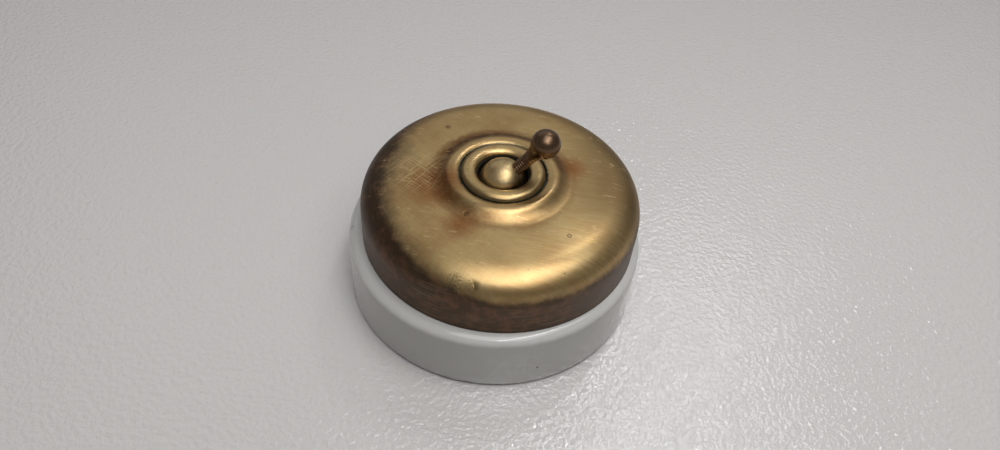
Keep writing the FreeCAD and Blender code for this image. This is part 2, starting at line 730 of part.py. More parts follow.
def terminal_block(side, sign):
    """Brass pillar with a wire bore from below and a clamping screw from the side."""
    name = "terminal_block_" + side
    foot = "terminal_floor + leaf_plate"
    middle = sign + "terminal_side"
    block = box(name + "_stock", "terminal_start", middle + " - terminal_width / 2", foot,
                "terminal_length", "terminal_width", "terminal_top - (%s)" % foot)
    tools = [
        rod(name + "_wire_bore", "wire_radius", "wire_top - terminal_floor",
            "wire_place", middle, "terminal_floor"),
        rod(name + "_screw_bore", "small_radius", "terminal_screw_top - terminal_floor",
            "terminal_screw", middle, "terminal_floor"),
        rod(name + "_clamp_bore", "small_radius", "terminal_start + terminal_length + 1 - wire_place",
            "wire_place", middle, "clamp_height", "x"),
    ]
    return fixed(cut(name, block, tools), name)


def clamping_screw(side, sign):
    """Cheese-headed screw that pinches the wire in its bore."""
    name = "clamping_screw_" + side
    face = "terminal_start + terminal_length"
    middle = sign + "terminal_side"
    shank = rod(name + "_shank", "small_radius", face + " - clamp_tip", "clamp_tip", middle, "clamp_height", "x")
    head = rod(name + "_head", "clamp_head", "clamp_cap", face, middle, "clamp_height", "x")
    slot = box(name + "_slot", face + " + clamp_cap - slot_depth", middle + " - slot_width / 2",
               "clamp_height - clamp_head - 1", "slot_depth + 1", "slot_width", "2 * clamp_head + 2")
    return fixed(cut(name, joined(name + "_stock", [shank, head]), [slot]), name)


# ---------------------------------------------------------------- assembly and export
def build():
    """Every sub-part, from the base up."""
    porcelain_base()
    brass_cover()
    cover_lining()
    ring_nut()
    threaded_collar()
    bridge()
    dolly()
    toggle_lever()
    dolly_pin()
    plunger()
    plunger_spring()
    rocker()
    rocker_pin()
    rocker_bracket()
    sunk_screw("bracket_screw", "well_floor + bracket_plate", "0", "0")
    moving_contact()
    for side, sign in (("front", "-"), ("back", "")):
        bridge_screw(side, sign)
        bridge_nut(side, sign)
        contact_rivet(side, sign)
        fixed_contact(side, sign)
        terminal_block(side, sign)
        clamping_screw(side, sign)
        sunk_screw("terminal_screw_" + side, "terminal_screw_top", "terminal_screw", sign + "terminal_side")


def check():
    """Stop before anything is written if an object failed or a shape isn't sound."""
    doc.recompute()
    for thing in doc.Objects:
        if "Invalid" in thing.State or "Error" in thing.State:
            raise RuntimeError("%s failed: %s" % (thing.Name, thing.State))
    for thing in nodes:
        shape = thing.Shape
        if shape.isNull() or not shape.isValid() or len(shape.Solids) != 1:
            raise RuntimeError("%s has no sound solid" % thing.Label)
        if shape.Volume <= 0:
            raise RuntimeError("%s is inside out" % thing.Label)


def write():
    """One STEP file per sub-part."""
    os.makedirs("parts", exist_ok=True)
    for thing in nodes:
        thing.Shape.exportStep("parts/%s.step" % thing.Label)
        size = thing.Shape.BoundBox
        print("%-24s volume %9.2f  x %.2f..%.2f  y %.2f..%.2f  z %.2f..%.2f" % (
            thing.Label, thing.Shape.Volume, size.XMin, size.XMax,
            size.YMin, size.YMax, size.ZMin, size.ZMax))


build()
check()
write()
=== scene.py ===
"""Antique round tumbler switch: glazed base, aged brass cover, ring nut and ball-ended toggle.

Every piece is made in the frame of the part, in metres.  Sizes in the panel are in millimetres.
"""
import json
import math

import bpy
from mathutils import Matrix, Vector, noise


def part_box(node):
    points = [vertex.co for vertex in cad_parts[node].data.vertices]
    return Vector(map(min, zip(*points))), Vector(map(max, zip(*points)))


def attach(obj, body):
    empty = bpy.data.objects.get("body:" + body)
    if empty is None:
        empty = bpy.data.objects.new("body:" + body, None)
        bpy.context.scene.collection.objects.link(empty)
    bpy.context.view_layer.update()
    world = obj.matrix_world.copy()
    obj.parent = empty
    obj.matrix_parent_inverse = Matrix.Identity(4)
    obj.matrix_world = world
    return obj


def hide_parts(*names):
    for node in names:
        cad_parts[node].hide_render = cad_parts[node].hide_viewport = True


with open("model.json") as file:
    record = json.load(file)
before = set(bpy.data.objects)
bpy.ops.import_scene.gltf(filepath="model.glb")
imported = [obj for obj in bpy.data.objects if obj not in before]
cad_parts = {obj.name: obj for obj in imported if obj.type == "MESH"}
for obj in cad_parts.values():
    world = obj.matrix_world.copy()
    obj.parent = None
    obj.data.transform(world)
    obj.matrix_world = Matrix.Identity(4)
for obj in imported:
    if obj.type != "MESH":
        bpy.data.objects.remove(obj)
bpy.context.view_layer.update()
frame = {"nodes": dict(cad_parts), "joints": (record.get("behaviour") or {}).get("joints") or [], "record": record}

bl_info = {
    "name": "Tumbler Switch",
    "version": (1, 0, 0),
    "blender": (4, 5, 0),
    "location": "View3D > Sidebar > Switch",
    "description": "Makes the visible pieces and finishes of an antique tumbler switch",
    "category": "Add Mesh",
}

MM = 0.001


# ---------------------------------------------------------------- places taken from the frame
def low(node):
    """Lowest corner of a frame node in millimetres."""
    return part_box(node)[0] / MM


def high(node):
    """Highest corner of a frame node in millimetres."""
    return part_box(node)[1] / MM


def joint(name):
    """A joint of the frame by name."""
    return next(entry for entry in frame["joints"] if entry["name"] == name)


AXIS = Vector(joint("toggle_tilt")["pos_m"])
ROCKER_AXIS = Vector(joint("rocker_turn")["pos_m"])
CENTRE_X = AXIS.x / MM
PIVOT_Z = AXIS.z / MM
SLIDE = Vector(joint("plunger_slide")["axis"])
LEAN = math.atan2(SLIDE.x, SLIDE.z)


# ---------------------------------------------------------------- sizes and colours in the panel
def size_of(label, default, description):
    """A length in millimetres."""
    return bpy.props.FloatProperty(name=label, default=default, min=0.0, description=description)


def tint(label, default, description):
    """A colour."""
    return bpy.props.FloatVectorProperty(name=label, default=default, size=4, min=0.0, max=1.0,
                                         subtype="COLOR", description=description)


class SwitchSizes(bpy.types.PropertyGroup):
    """Driving sizes of the visible pieces, in millimetres."""

    base_radius: size_of("Base radius", high("porcelain_base").x, "Radius of the porcelain at its foot")
    base_taper: size_of("Base taper", 0.18, "How much narrower the base is under its rounded edge")
    base_edge: size_of("Base edge", 2.0, "Radius of the rounded top edge")
    foot_round: size_of("Foot rounding", 0.7, "Radius where the wall meets the ground foot")
    ledge: size_of("Ledge height", low("brass_cover").z, "Height of the ledge under the cover")
    spigot_radius: size_of("Spigot radius", 28.1, "Raised middle inside the cover")
    spigot_top: size_of("Spigot height", high("porcelain_base").z, "Top of the raised middle")
    recess_radius: size_of("Recess radius", 27.0, "Hollow of the underside")
    recess_depth: size_of("Recess depth", low("bracket_screw").z, "Depth of that hollow")
    cover_radius: size_of("Cover radius", high("brass_cover").y, "Outer radius of the cover")
    cover_wall: size_of("Cover wall", 0.75, "Thickness of the pressed brass")
    cover_straight: size_of("Straight wall", 21.65, "Top of the straight wall")
    crown_edge: size_of("Crown edge", 23.2, "Radius where shoulder and crown meet")
    crown_edge_height: size_of("Crown edge height", 28.1, "Height there")
    valley_radius: size_of("Valley radius", 14.6, "Radius of the valley round the bead")
    valley_height: size_of("Valley height", 28.45, "Height of the valley")
    bead_radius: size_of("Bead radius", 10.5, "Radius of the crest of the bead")
    bead_height: size_of("Bead height", 30.0, "Height of the crest of the bead")
    seat_radius: size_of("Seat radius", 8.95, "Radius of the seat of the ring nut")
    seat_height: size_of("Seat height", 28.7, "Height of that seat")
    nut_radius: size_of("Nut radius", high("ring_nut").y, "Outer radius of the ring nut")
    nut_crest: size_of("Nut crest radius", 7.15, "Radius of its crest")
    nut_height: size_of("Nut crest height", high("ring_nut").z, "Height of its crest")
    nut_hole: size_of("Nut hole", 5.55, "Radius of its hole")
    skirt_radius: size_of("Skirt radius", 6.9, "Radius of its threaded skirt")
    skirt_foot: size_of("Skirt foot", low("ring_nut").z, "Lower end of the skirt")
    dome_radius: size_of("Dome radius", high("dolly").z - PIVOT_Z, "Radius of the dome")
    stem_radius: size_of("Stem radius", 1.35, "Radius over the crests of the stem thread")
    neck_start: size_of("Neck start", 8.2, "Height above the toggle axis where the stem starts to flare")
    neck_radius: size_of("Neck radius", 2.1, "Radius where the flare meets the ball")
    thread_pitch: size_of("Thread pitch", 0.56, "Pitch of the stem thread")
    thread_depth: size_of("Thread depth", 0.15, "Depth of the stem thread")
    ball_radius: size_of("Ball radius", high("toggle_lever").y, "Radius of the ball")
    ball_distance: size_of("Ball distance", 13.3, "Centre of the ball above the toggle axis")


class SwitchTints(bpy.types.PropertyGroup):
    """Colours of the finishes."""

    brass: tint("Brass", (0.60, 0.40, 0.165, 1.0), "Rubbed brass of the crown")
    pale_brass: tint("Pale brass", (0.70, 0.53, 0.27, 1.0), "Worn bright brass")
    patina: tint("Patina", (0.060, 0.035, 0.021, 1.0), "Brown patina of the wall")
    tarnish: tint("Tarnish", (0.34, 0.140, 0.046, 1.0), "Reddish tarnish round the bead")
    # the deposit colour, also used as painted shade in the crevices round the ring nut
    verdigris_and_shade: tint("Verdigris", (0.045, 0.060, 0.042, 1.0), "Green-black deposit in the gaps")
    glaze: tint("Glaze", (0.385, 0.379, 0.361, 1.0), "Glazed porcelain")
    bisque: tint("Bisque", (0.50, 0.45, 0.38, 1.0), "Bare porcelain of the foot")
    works: tint("Works brass", (0.66, 0.48, 0.21, 1.0), "Brass of the works")
    steel: tint("Steel", (0.45, 0.45, 0.44, 1.0), "Pins and spring")
    fibre: tint("Fibre", (0.28, 0.075, 0.05, 1.0), "Vulcanised fibre of the rocker")
    paper: tint("Lining", (0.30, 0.20, 0.11, 1.0), "Insulating fibre of the lining")
    table: tint("Table", (0.83, 0.805, 0.79, 1.0), "Floor under the switch")


def sizes():
    """The sizes now set in the panel."""
    return bpy.context.scene.switch_sizes


def tints():
    """The colours now set in the panel."""
    return bpy.context.scene.switch_tints


# ---------------------------------------------------------------- shader maths
class Value:
    """A number that varies over a surface; arithmetic on it adds Math nodes."""

    def __init__(self, finish, socket):
        self.finish = finish
        self.socket = socket

    def math(self, operation, first, second):
        """A Math node on two values."""
        return self.finish.add("Math", {"operation": operation}, {0: first, 1: second}).out()

    def __add__(self, other):
        return self.math("ADD", self, other)

    __radd__ = __add__

    def __sub__(self, other):
        return self.math("SUBTRACT", self, other)

    def __rsub__(self, other):
        return self.math("SUBTRACT", other, self)

    def __mul__(self, other):
        return self.math("MULTIPLY", self, other)

    __rmul__ = __mul__

    def __truediv__(self, other):
        return self.math("DIVIDE", self, other)

    def __pow__(self, other):
        return self.math("POWER", self, other)

    def at_most(self, other):
        """The smaller of the two."""
        return self.math("MINIMUM", self, other)

    def at_least(self, other):
        """The larger of the two."""
        return self.math("MAXIMUM", self, other)

    def rising(self, start, end):
        """0 up to start, 1 from end, smooth between."""
        return self.finish.add("MapRange", {"interpolation_type": "SMOOTHSTEP"},
                               {"Value": self, "From Min": start, "From Max": end}).out()

    def falling(self, start, end):
        """1 up to start, 0 from end, smooth between."""
        return self.finish.add("MapRange", {"interpolation_type": "SMOOTHSTEP"},
                               {"Value": self, "From Min": start, "From Max": end,
                                "To Min": 1.0, "To Max": 0.0}).out()


class Made:
    """A node just added, with its outputs as values."""

    def __init__(self, finish, node):
        self.finish = finish
        self.node = node

    def out(self, key=0):
        """One output, by name or number."""
        return Value(self.finish, self.node.outputs[key])


class Finish:
    """A material under construction, centred on the toggle axis, with lengths in millimetres."""

    def __init__(self, name, centre=(0.0, 0.0, 0.0), turn=0.0):
        self.material = bpy.data.materials.new(name)
        self.material.use_nodes = True
        self.tree = self.material.node_tree
        self.tree.nodes.clear()
        place = self.add("TexCoord").out("Object")
        moved = self.add("VectorMath", {"operation": "SUBTRACT"}, {0: place, 1: centre}).out()
        scaled = self.add("VectorMath", {"operation": "SCALE"}, {0: moved, "Scale": 1.0 / MM}).out()
        self.place = self.add("VectorRotate", {"rotation_type": "Y_AXIS"},
                              {"Vector": scaled, "Angle": turn}).out() if turn else scaled
        split = self.add("SeparateXYZ", {}, {0: self.place})
        self.x = split.out("X")
        self.y = split.out("Y")
        self.z = split.out("Z")

    def add(self, kind, settings=None, entries=None):
        """Any node: its type, its settings, then the values or links of its sockets."""
        node = self.tree.nodes.new("ShaderNode" + kind)
        for key, setting in (settings or {}).items():
            setattr(node, key, setting)
        for key, entry in (entries or {}).items():
            if isinstance(entry, Value):
                self.tree.links.new(entry.socket, node.inputs[key])
            else:
                node.inputs[key].default_value = entry
        return Made(self, node)

    def radius(self):
        """Distance from the Z axis of the pattern."""
        return (self.x * self.x + self.y * self.y) ** 0.5

    def stretched(self, x, y, z):
        """The place with each direction scaled."""
        return self.add("VectorMath", {"operation": "MULTIPLY"}, {0: self.place, 1: (x, y, z)}).out()

    def turned(self, angle, stretch):
        """The place turned about Z, then stretched."""
        spun = self.add("VectorRotate", {"rotation_type": "Z_AXIS"},
                        {"Vector": self.place, "Angle": angle}).out()
        return self.add("VectorMath", {"operation": "MULTIPLY"}, {0: spun, 1: stretch}).out()

    def noise(self, scale, detail=3.0, roughness=0.55, place=None):
        """Cloudy noise about 0.5; the scale is in lumps per millimetre."""
        return self.add("TexNoise", {}, {"Vector": place or self.place, "Scale": scale,
                                         "Detail": detail, "Roughness": roughness}).out("Fac")

    def gap_to(self, point):
        """Distance from a point, in millimetres."""
        return self.add("VectorMath", {"operation": "DISTANCE"}, {0: self.place, 1: point}).out("Value")

    def cells(self, scale):
        """Distance to the nearest of scattered points."""
        return self.add("TexVoronoi", {}, {"Vector": self.place, "Scale": scale}).out("Distance")

    def near(self, point, start, end):
        """1 within start of a point, 0 beyond end, in millimetres."""
        return self.gap_to(point).falling(start, end)

    def mix(self, share, first, second):
        """Second colour laid over the first by a share."""
        return self.add("Mix", {"data_type": "RGBA"}, {0: share, 6: first, 7: second}).out(2)

    def bump(self, height, distance, strength=1.0, under=None):
        """Normal of a height field whose value 1 stands for distance millimetres."""
        entries = {"Height": height, "Distance": distance * MM, "Strength": strength}
        if under is not None:
            entries["Normal"] = under
        return self.add("Bump", {}, entries).out()

    def surface(self, **entries):
        """The Principled shader and the output; returns the finished material."""
        named = {key.replace("_", " "): entry for key, entry in entries.items()}
        shader = self.add("BsdfPrincipled", {}, named).out()
        self.add("OutputMaterial", {}, {"Surface": shader})
        return self.material


# ---------------------------------------------------------------- finishes
# directions of the brushing and scratches on the crown, in radians
SLANT = 0.62
LEVEL = 0.08
CROSSED = -0.95


def round_brushing(skin, fineness, waviness):
    """Streaks that run round the toggle axis, without a seam."""
    reach = skin.radius().at_least(0.5)
    ring = skin.add("CombineXYZ", {}, {"X": skin.x / reach * waviness, "Y": skin.y / reach * waviness,
                                       "Z": reach * fineness + skin.z * fineness})
    return skin.noise(1.0, 4.0, 0.6, ring.out())


def straight_brushing(skin, angle, spacing, length):
    """Soft brushed grain along one direction of the crown."""
    return skin.noise(1.0, 4.0, 0.65, skin.turned(angle, (1.0 / length, 1.0 / spacing, 0.4)))


def straight_scratches(skin, angle, spacing, length):
    """Thin straight scratches in one direction: 1 in a scratch, 0 between."""
    lines = skin.noise(1.0, 2.0, 0.5, skin.turned(angle, (1.0 / length, 1.0 / spacing, 0.2)))
    return lines.rising(0.56, 0.64)


def crown_grain(skin):
    """Brushing of the crown: slanting and crossed on the left, level on the right."""
    slanting = straight_brushing(skin, SLANT, 0.24, 3.5)
    level = straight_brushing(skin, LEVEL, 0.24, 4.5)
    crossing = straight_brushing(skin, CROSSED, 0.30, 2.5)
    rightness = skin.x.rising(-6.0, 12.0)
    leftover = 1.0 - rightness
    return slanting * leftover * 0.6 + level * rightness + crossing * 0.4 * leftover


def crown_tarnish(skin, rubbed, patchy):
    """Colour of the crown with the tarnish round the bead, and the share of that tarnish."""
    hue = tints()
    reach = skin.radius()
    halo = reach - 13.4 + (patchy - 0.5) * 3.0
    halo = (halo * halo).falling(0.2, 6.0) * (patchy.rising(0.30, 0.75) * 0.5 + 0.45)
    halo = halo * (0.40 + skin.x.falling(-12.0, 6.0) * 0.6 + skin.y.rising(2.0, 12.0) * 0.3)
    warm = skin.near((-13.4, -4.0, 28.8), 2.0, 8.5)
    warm = warm.at_least(skin.near((-7.2, -14.6, 28.9), 0.5, 5.5))
    warm = warm.at_least(skin.near((14.0, 4.6, 28.9), 0.5, 5.0))
    crust = reach - 12.9 + (patchy - 0.5) * 1.6
    crust = (crust * crust).falling(0.02, 1.4) * patchy.rising(0.38, 0.62)
    crust = crust * skin.y.rising(-2.0, 8.0) * 0.7
    colour = skin.mix((warm * (patchy * 0.9 + 0.40)).at_most(0.9), rubbed, hue.tarnish)
    colour = skin.mix(halo.at_most(0.8), colour, (0.20, 0.085, 0.030, 1.0))
    return skin.mix(crust * 0.8, colour, hue.patina), halo


def wall_patina_sheen_and_shade(skin, patchy, broad):
    """Colour of the unrubbed wall: brown, with reddish clouds and greyish streaks, a painted greyish reflection
    towards the right and painted shade along the bottom edge.
    """
    rings = round_brushing(skin, 4.5, 3.0)
    wall = skin.mix(patchy.rising(0.44, 0.66) * 0.75, tints().patina, (0.145, 0.066, 0.036, 1.0))
    streaks = rings.rising(0.52, 0.62) * broad.rising(0.38, 0.58) * 0.65
    wall = skin.mix(streaks, wall, (0.17, 0.12, 0.085, 1.0))
    # painted reflection: the wall turns greyer towards the right
    wall = skin.mix(skin.x.rising(8.0, 27.0) * 0.34, wall, (0.22, 0.18, 0.15, 1.0))
    # painted contact shade: the wall darkens along its bottom edge, where it rests on the porcelain ledge
    return skin.mix(skin.z.falling(14.8, 15.6) * 0.6, wall, (0.025, 0.018, 0.014, 1.0))


def crown_damage(skin, grain, patchy):
    """Share of dark spots, specks, the nick at the front and the round pit."""
    marks = skin.near((-9.4, -13.0, 28.9), 0.25, 0.55)
    marks = marks.at_least(skin.near((-6.5, -11.8, 28.9), 0.35, 0.80))
    marks = marks.at_least(skin.near((-12.9, 14.6, 28.7), 0.3, 1.0))
    marks = marks * grain.rising(0.40, 0.52)
    specks = skin.cells(0.55).falling(0.05, 0.16) * grain.rising(0.52, 0.60)
    nick = skin.near((-3.6, -27.3, 25.9), 0.3, 1.7) * patchy.rising(0.40, 0.50)
    stain = skin.near((-7.2, -26.6, 26.0), 0.5, 2.6) * grain.rising(0.50, 0.56) * 0.8
    nick = nick.at_least(stain)
    rim = skin.gap_to((13.7, -14.9, 28.4)) - 0.38
    pit = (rim * rim).falling(0.004, 0.03)
    return marks.at_least(specks * 0.7).at_least(nick * 0.8).at_least(pit * 0.7)


def cover_finish():
    """Rubbed brass on the crown, brown patina on the shoulder and wall reaching higher on the left as painted
    shade, tarnish round the bead, a green-black deposit and painted shade round the nut seat.
    """
    hue = tints()
    skin = Finish("aged_brass", (AXIS.x, 0.0, 0.0))
    reach = skin.radius()
    broad = skin.noise(0.10, 3.0)
    patchy = skin.noise(0.45, 5.0, 0.65)
    grain = skin.noise(3.5, 4.0, 0.7)
    brushed = crown_grain(skin)

    rubbed = skin.mix(brushed.rising(0.30, 0.72), hue.brass, hue.pale_brass)
    rubbed = skin.mix(broad.rising(0.38, 0.66) * 0.30, rubbed, hue.tarnish)
    shaded = skin.x.rising(8.0, 22.0) * skin.y.rising(-15.5, -6.0) * 0.66
    rubbed = skin.mix(shaded, rubbed, (0.20, 0.135, 0.065, 1.0))
    colour, halo = crown_tarnish(skin, rubbed, patchy)

    # painted shade: the patina reaches higher up the left shoulder, the side turned from the lamps
    left_shade = (0.0 - skin.x).at_least(0.0)
    drop = skin.z - left_shade * 0.19 + (patchy - 0.5) * 1.6 + (broad - 0.5) * 1.6
    patina_and_left_shade = drop.falling(22.6, 25.3)
    colour = skin.mix(patina_and_left_shade * 0.97, colour, wall_patina_sheen_and_shade(skin, patchy, broad))

    dark = crown_damage(skin, grain, patchy)
    # green-black deposit and painted shade in the crevice between the cover seat and the ring nut
    seat_verdigris_and_shade = (reach + (grain - 0.5) * 0.9).falling(9.05, 9.45)
    colour = skin.mix(dark * 0.85, colour, hue.patina)
    colour = skin.mix(seat_verdigris_and_shade * 0.95, colour, hue.verdigris_and_shade)

    crossed = straight_scratches(skin, SLANT, 0.20, 7.0)
    crossed = crossed.at_least(straight_scratches(skin, CROSSED, 0.26, 5.0) * 0.8)
    crossed = crossed * skin.near((-17.5, -0.6, 28.3), 1.0, 8.5) * 0.75
    stray = straight_scratches(skin, 0.12, 0.35, 16.0) * patchy.rising(0.52, 0.66)
    scratched = crossed.at_least(stray * 0.5) * skin.z.rising(26.0, 27.5)
    colour = skin.mix(scratched, colour, (0.95, 0.72, 0.38, 1.0))

    bead = (reach - 10.5) * (reach - 10.5)
    rough = 0.27 + brushed * 0.10 + shaded * 0.15 + patina_and_left_shade * 0.12 + halo * 0.10
    rough = rough + grain * 0.05 - bead.falling(0.6, 2.2) * 0.05
    relief = skin.bump(brushed, 0.006)
    relief = skin.bump(grain, 0.010, 0.6, relief)
    relief = skin.bump(1.0 - dark.at_least(crossed * 0.25), 0.05, 0.8, relief)
    relief = skin.bump(broad, 0.12, 0.5, relief)
    metal = 1.0 - patina_and_left_shade * 0.25 - seat_verdigris_and_shade * 0.6
    return skin.surface(Base_Color=colour, Metallic=metal, Roughness=rough, Normal=relief)


def nut_finish():
    """Ring nut: bright on the crest, with painted shade on its outer flank, and a green-black deposit with painted
    shade in its roots.
    """
    hue = tints()
    skin = Finish("ring_brass", (AXIS.x, 0.0, 0.0))
    reach = skin.radius()
    patchy = skin.noise(0.8, 5.0, 0.6)
    brushed = round_brushing(skin, 9.0, 5.0)
    colour = skin.mix(brushed.rising(0.3, 0.7), hue.brass, hue.pale_brass)
    # green-black deposit and painted shade on the low parts of the nut, by the cover seat and by its hole
    roots = (skin.z + (patchy - 0.5) * 0.7).falling(29.45, 29.95)
    # painted shade: the outer flank, facing the crevice, takes the patina colour
    flank = reach.rising(7.6, 8.5) * 0.55
    colour = skin.mix(patchy.rising(0.5, 0.75) * 0.35, colour, hue.tarnish)
    colour = skin.mix(flank, colour, hue.patina)
    colour = skin.mix(roots * 0.95, colour, hue.verdigris_and_shade)
    rough = 0.26 + brushed * 0.10 + roots * 0.3
    relief = skin.bump(brushed, 0.006)
    relief = skin.bump(patchy, 0.03, 0.6, relief)
    return skin.surface(Base_Color=colour, Metallic=1.0 - roots * 0.5, Roughness=rough, Normal=relief)


def dome_finish():
    """Handled brass of the dome, brown in patches and darkened towards its rim by painted shade."""
    hue = tints()
    skin = Finish("dome_brass", tuple(AXIS), LEAN)
    patchy = skin.noise(0.7, 5.0, 0.65)
    grain = skin.noise(4.0, 4.0, 0.7)
    colour = skin.mix(patchy.rising(0.42, 0.80) * 0.45, hue.pale_brass, hue.tarnish)
    # painted shade: the dome darkens towards its rim, where it sinks into the hole of the nut
    rim = skin.z.falling(0.2, 2.6)
    brown = patchy.rising(0.40, 0.70) * 0.15 + rim * 0.75 + 0.05
    colour = skin.mix(brown, colour, hue.patina)
    rough = 0.27 + patchy * 0.14 + grain * 0.06
    relief = skin.bump(grain, 0.010)
    relief = skin.bump(patchy, 0.05, 0.7, relief)
    return skin.surface(Base_Color=colour, Metallic=0.95, Roughness=rough, Normal=relief)


def lever_finish():
    """Lever: ball rubbed by fingers, brown neck, painted shade on the lower part of the ball and in the thread
    roots.
    """
    hue = tints()
    skin = Finish("lever_brass", tuple(AXIS), LEAN)
    patchy = skin.noise(0.9, 5.0, 0.65)
    grain = skin.noise(4.0, 4.0, 0.7)
    reach = skin.radius()
    colour = skin.mix(patchy.rising(0.46, 0.86) * 0.15, (0.64, 0.50, 0.28, 1.0), hue.tarnish)
    # the stem and neck are dark reddish brown; the same mask darkens the lower part of the ball as painted shade
    stem = skin.z.falling(10.0, 12.6)
    colour = skin.mix(stem * 0.85, colour, (0.115, 0.055, 0.036, 1.0))
    colour = skin.mix(patchy.rising(0.45, 0.80) * 0.18, colour, hue.patina)
    # painted shade in the roots of the thread
    thread_root_shade = reach.falling(1.22, 1.33) * skin.z.falling(7.6, 8.1)
    colour = skin.mix(thread_root_shade * 0.85, colour, (0.035, 0.018, 0.012, 1.0))
    rough = 0.13 + patchy * 0.10 + stem * 0.10 + thread_root_shade * 0.3
    relief = skin.bump(grain, 0.010)
    relief = skin.bump(patchy, 0.04, 0.7, relief)
    return skin.surface(Base_Color=colour, Metallic=0.97, Roughness=rough, Normal=relief)


def glaze_finish():
    """Old glazed porcelain: soft waves, a few iron specks, bare and dirty at the foot with a painted contact
    shadow there, and a painted lighter top edge.
    """
    hue = tints()
    skin = Finish("porcelain_glaze")
    waves = skin.noise(0.07, 2.0)
    cloud = skin.noise(0.35, 4.0)
    fine = skin.noise(6.0, 3.0)
    specks = skin.cells(0.22).falling(0.018, 0.034) * cloud.rising(0.42, 0.5)
    specks = specks.at_least(skin.near((10.9, -29.8, 5.2), 0.22, 0.36))
    specks = specks.at_least(skin.near((-30.3, -4.6, 14.1), 0.3, 0.8) * fine.rising(0.5, 0.6))
    # dirt and a painted contact shadow: a dark band along the foot, where the base meets the table
    foot = (skin.z + (cloud - 0.5) * 0.6).falling(0.60, 0.90)
    under = skin.z.falling(2.2, 2.6) * skin.radius().falling(30.6, 31.0)
    # painted light: the ledge and the rounded top edge are lighter than the wall, as they face the lamps above
    edge = (skin.z + (cloud - 0.5) * 0.5).rising(12.5, 14.0)
    colour = skin.mix(cloud * 0.16, hue.glaze, (0.50, 0.49, 0.44, 1.0))
    colour = skin.mix(edge * 0.85, colour, (0.78, 0.775, 0.75, 1.0))
    colour = skin.mix(specks * 0.9, colour, (0.03, 0.028, 0.025, 1.0))
    colour = skin.mix(under * 0.85, colour, hue.bisque)
    colour = skin.mix(foot * 0.88, colour, (0.045, 0.036, 0.028, 1.0))
    rough = 0.10 + fine * 0.03 + foot * 0.5 + under * 0.35
    relief = skin.bump(waves, 0.35, 0.6)
    relief = skin.bump(cloud, 0.02, 0.6, relief)
    relief = skin.bump(fine, 0.004, 0.5, relief)
    coat = (0.5 - under * 0.5 - foot * 0.5).at_least(0.0)
    return skin.surface(Base_Color=colour, Roughness=rough, Normal=relief, Coat_Weight=coat,
                        Coat_Roughness=0.05, Specular_IOR_Level=0.6)


def collar_finish():
    """Threaded collar, near-black at its top as painted shade down the bore, and black-green where damp and dirt
    collect under the toggle.
    """
    hue = tints()
    skin = Finish("collar_patina_and_shade", (AXIS.x, 0.0, 0.0))
    patchy = skin.noise(0.9, 5.0, 0.65)
    damp = skin.near((3.6, -3.2, 29.0), 0.5, 5.0)
    # painted shade: the collar turns near-black towards its top, the part seen down the bore of the nut
    colour = skin.mix(skin.z.rising(25.6, 27.4), hue.works, (0.030, 0.026, 0.018, 1.0))
    colour = skin.mix(damp * 0.8, colour, (0.022, 0.050, 0.040, 1.0))
    colour = skin.mix(patchy.rising(0.55, 0.75) * 0.4, colour, hue.patina)
    relief = skin.bump(patchy, 0.05)
    return skin.surface(Base_Color=colour, Metallic=0.6, Roughness=0.42 + patchy * 0.2, Normal=relief)


def works_finish():
    """Turned and bent brass of the works, dull in patches."""
    hue = tints()
    skin = Finish("works_brass_finish")
    patchy = skin.noise(0.5, 5.0, 0.6)
    grain = skin.noise(1.0, 4.0, 0.6, skin.stretched(0.8, 9.0, 9.0))
    colour = skin.mix(patchy.rising(0.42, 0.74) * 0.7, hue.works, hue.tarnish)
    colour = skin.mix(patchy.rising(0.62, 0.80) * 0.5, colour, hue.patina)
    relief = skin.bump(grain, 0.008)
    return skin.surface(Base_Color=colour, Metallic=1.0, Roughness=0.28 + patchy * 0.22, Normal=relief)


def steel_finish():
    """Drawn steel of pins, plunger and spring."""
    hue = tints()
    skin = Finish("drawn_steel", tuple(AXIS), LEAN)
    patchy = skin.noise(1.2, 4.0)
    drawn = skin.noise(1.0, 3.0, 0.5, skin.stretched(12.0, 12.0, 1.0))
    colour = skin.mix(patchy.rising(0.55, 0.75) * 0.6, hue.steel, (0.17, 0.09, 0.05, 1.0))
    relief = skin.bump(drawn, 0.004)
    return skin.surface(Base_Color=colour, Metallic=1.0, Roughness=0.24 + patchy * 0.2, Normal=relief)


def fibre_finish():
    """Red-brown vulcanised fibre: pressed layers and a dry sheen."""
    hue = tints()
    skin = Finish("vulcanised_fibre_finish", tuple(ROCKER_AXIS))
    layers = skin.noise(1.0, 4.0, 0.6, skin.stretched(0.7, 5.0, 0.7))
    flecks = skin.noise(2.5, 5.0, 0.7)
    colour = skin.mix(layers.rising(0.35, 0.7) * 0.6, hue.fibre, (0.13, 0.035, 0.025, 1.0))
    colour = skin.mix(flecks.rising(0.62, 0.72) * 0.5, colour, (0.42, 0.22, 0.15, 1.0))
    relief = skin.bump(layers, 0.02)
    relief = skin.bump(flecks, 0.015, 0.7, relief)
    return skin.surface(Base_Color=colour, Roughness=0.5 + flecks * 0.2, Normal=relief)


def lining_finish():
    """Brown insulating fibre with soft flecks."""
    hue = tints()
    skin = Finish("lining_fibre")
    flecks = skin.noise(2.0, 6.0, 0.75)
    strands = skin.noise(1.0, 4.0, 0.6, skin.stretched(1.2, 1.2, 6.0))
    colour = skin.mix(flecks.rising(0.45, 0.7) * 0.7, hue.paper, (0.16, 0.10, 0.055, 1.0))
    relief = skin.bump(strands, 0.03)
    return skin.surface(Base_Color=colour, Roughness=0.75 + flecks * 0.15, Normal=relief)


